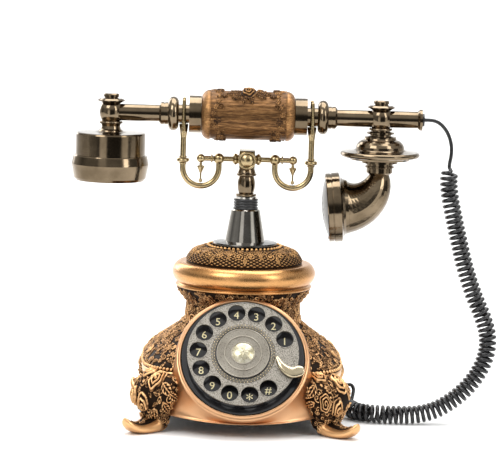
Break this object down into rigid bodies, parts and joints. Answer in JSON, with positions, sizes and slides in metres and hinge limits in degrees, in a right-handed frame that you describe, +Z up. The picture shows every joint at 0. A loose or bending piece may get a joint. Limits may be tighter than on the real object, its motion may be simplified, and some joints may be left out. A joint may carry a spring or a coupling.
{
  "type": "rotary telephone",
  "caption": "Ornate antique-style rotary dial telephone, cast bronze-coloured base with leaf and rose relief, horn handset on a forked brass cradle, curly black cord",
  "frame": {"origin": "on the surface that the feet stand on, under the axis of the cradle post", "axes": "X along the handset from the receiver to the mouthpiece, Y from the dial to the back, Z up"},
  "size_m": [0.3224, 0.1866, 0.2526],
  "materials": {
    "cast_bronze": "aged bronze and copper gold, satin, antiqued, relief",
    "band_bronze": "copper gold, satin, smooth",
    "antique_brass": "dark antique brass, polished, aged",
    "hook_brass": "antique brass, satin",
    "black_nickel": "near black nickel, polished",
    "black_plastic": "black, satin",
    "gloss_black": "black, glossy",
    "antique_silver": "antique silver, stippled",
    "champagne": "pale champagne, polished",
    "wood_resin": "brown and gold, streaked, carved",
    "grey_steel": "steel grey, plain",
    "yellow_brass": "yellow brass, plain",
    "green_board": "green, plain",
    "copper_wire": "copper red, wound",
    "black_rubber": "black, matte",
    "cord_black": "black, glossy, coiled",
    "clear_plug": "smoky clear, glossy"
  },
  "bodies": {
    "base": {"body_shell": "cast_bronze", "crown": "band_bronze", "bottom_plate": "black_plastic", "rubber_feet": "black_rubber", "case_screws": "grey_steel", "ballast_weight": "grey_steel", "dial_housing": "gloss_black", "number_plate": "gloss_black", "finger_stop": "champagne", "dial_frame": "grey_steel", "return_spring": "grey_steel", "pulse_contacts": "black_plastic", "post_cone": "black_nickel", "guide_collar": "black_plastic", "collar_ring": "champagne", "circuit_board": "green_board", "hook_bracket": "grey_steel", "hook_switch": "black_plastic", "ringer_frame": "grey_steel", "ringer_coil": "copper_wire", "ringer_gongs": "yellow_brass", "handset_jack": "black_plastic", "line_jack": "black_plastic", "cord_curl": "cord_black", "cord_tail": "cord_black", "cord_plug": "clear_plug"},
    "handset": {"grip_barrel": "wood_resin", "grip_ferrules": "antique_brass", "tube_collars": "antique_brass", "spine_tube": "antique_brass", "receiver_joint": "antique_brass", "transmitter_joint": "antique_brass", "cap_nuts": "antique_brass", "receiver_shell": "antique_brass", "ear_cap": "antique_brass", "receiver_capsule": "black_plastic", "transmitter_bell": "antique_brass", "transmitter_neck": "antique_brass", "transmitter_horn": "antique_brass", "mouthpiece_ring": "antique_brass", "mouth_grille": "antique_brass", "microphone_capsule": "black_plastic", "end_tube": "antique_brass", "end_plug": "black_plastic", "cord_lead": "cord_black"},
    "cradle": {"cradle_post": "antique_brass", "cradle_block": "hook_brass", "boss_caps": "hook_brass", "cradle_arm_left": "hook_brass", "cradle_arm_right": "hook_brass", "arm_pendants": "hook_brass", "plunger_spring": "grey_steel"},
    "switch_lever": {"switch_lever": "grey_steel"},
    "finger_wheel": {"finger_plate": "antique_silver", "center_disc": "antique_silver", "dial_shaft": "grey_steel", "main_gear": "yellow_brass"},
    "governor": {"governor_rotor": "yellow_brass"},
    "clapper": {"ringer_clapper": "grey_steel"},
    "ringer_switch": {"ringer_switch": "black_plastic"}
  },
  "joints": [
    {"name": "handset_lift", "type": "slide", "parent": "base", "child": "handset", "axis": [0, 0, 1], "range_m": [0, 0.06]},
    {"name": "cradle_rise", "type": "slide", "parent": "base", "child": "cradle", "axis": [0, 0, 1], "range_m": [0, 0.004], "deforming": ["plunger_spring"]},
    {"name": "lever_turn", "type": "hinge", "parent": "base", "child": "switch_lever", "pos_m": [0.03, 0, 0.10679], "axis": [0, 1, 0], "range_deg": [0, 10.5]},
    {"name": "dial_turn", "type": "hinge", "parent": "base", "child": "finger_wheel", "pos_m": [0, -0.0735, 0.05572], "axis": [0, 0.8387, -0.5446], "range_deg": [0, 310]},
    {"name": "governor_spin", "type": "hinge", "parent": "base", "child": "governor", "pos_m": [-0.03025, -0.06092, 0.04755], "axis": [0, 0.8387, -0.5446], "range_deg": [-1550, 0]},
    {"name": "clapper_swing", "type": "hinge", "parent": "base", "child": "clapper", "pos_m": [0, 0.02, 0.016], "axis": [0, 0, 1], "range_deg": [-4, 4]},
    {"name": "loudness_slide", "type": "slide", "parent": "base", "child": "ringer_switch", "axis": [1, 0, 0], "range_m": [0, 0.005]}
  ],
  "couplings": [
    {"joint": "cradle_rise", "follows": "handset_lift", "ratio": 0.06667},
    {"joint": "lever_turn", "follows": "handset_lift", "rad_per_m": 3.0252},
    {"joint": "governor_spin", "follows": "dial_turn", "ratio": -5}
  ]
}
